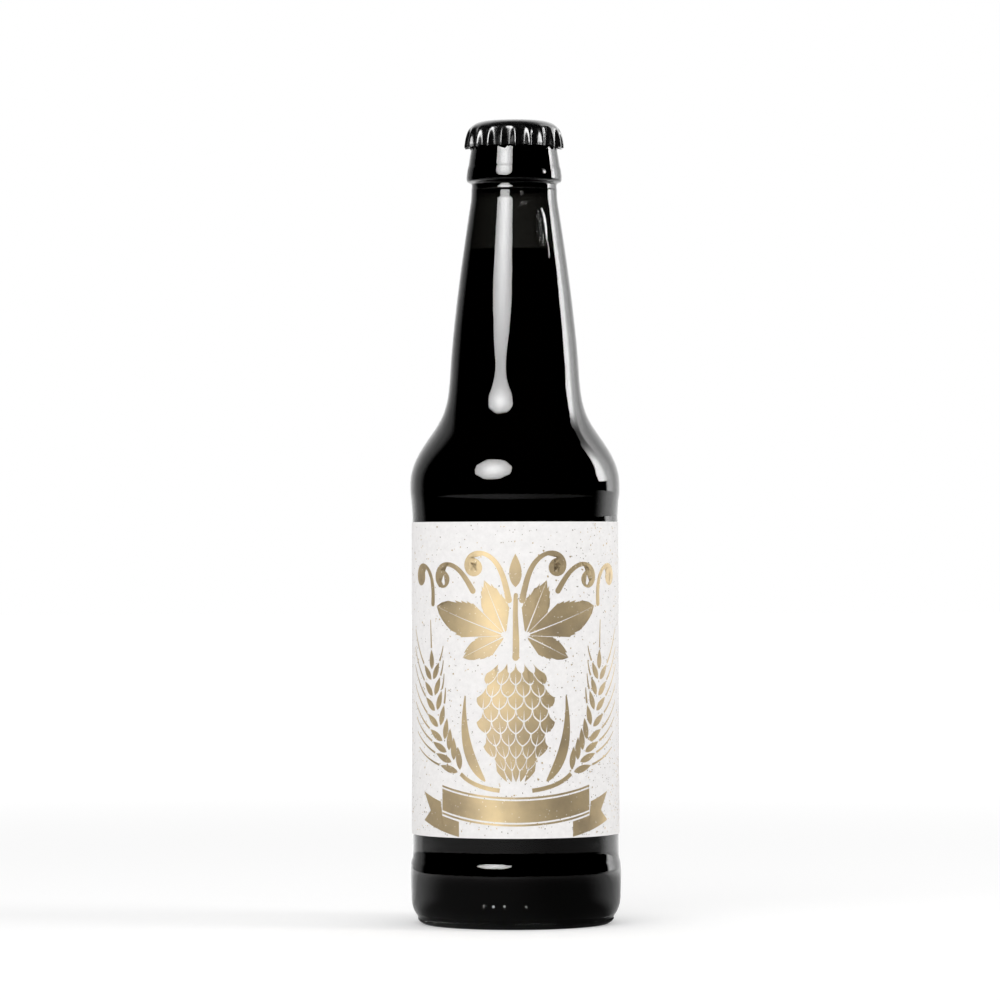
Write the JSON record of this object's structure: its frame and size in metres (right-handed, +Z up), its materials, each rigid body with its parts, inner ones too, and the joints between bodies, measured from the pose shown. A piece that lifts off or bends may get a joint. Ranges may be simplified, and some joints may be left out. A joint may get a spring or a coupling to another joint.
{
  "type": "beer bottle",
  "caption": "Long-neck bottle of near-black glass, full of dark beer, shut with a fluted crown cap and wrapped in a white paper label with gold foil ornament.",
  "frame": {"origin": "centre of the ring that the bottle stands on", "axes": "+Z up along the bottle's axis, -Y towards the front of the label"},
  "size_m": [0.061, 0.061, 0.231],
  "materials": {
    "dark_glass": "polished, near-black moulded bottle glass",
    "dark_beer": "opaque dark stout, still",
    "label_paper": "uncoated white paper flecked with grey and gold",
    "gold_foil": "pressed gold foil, satin",
    "cap_enamel": "gloss black enamel on pressed steel"
  },
  "bodies": {
    "root": {"glass_bottle": "dark_glass", "beer": "dark_beer", "label": "label_paper", "crown_cap": "cap_enamel"}
  },
  "joints": []
}
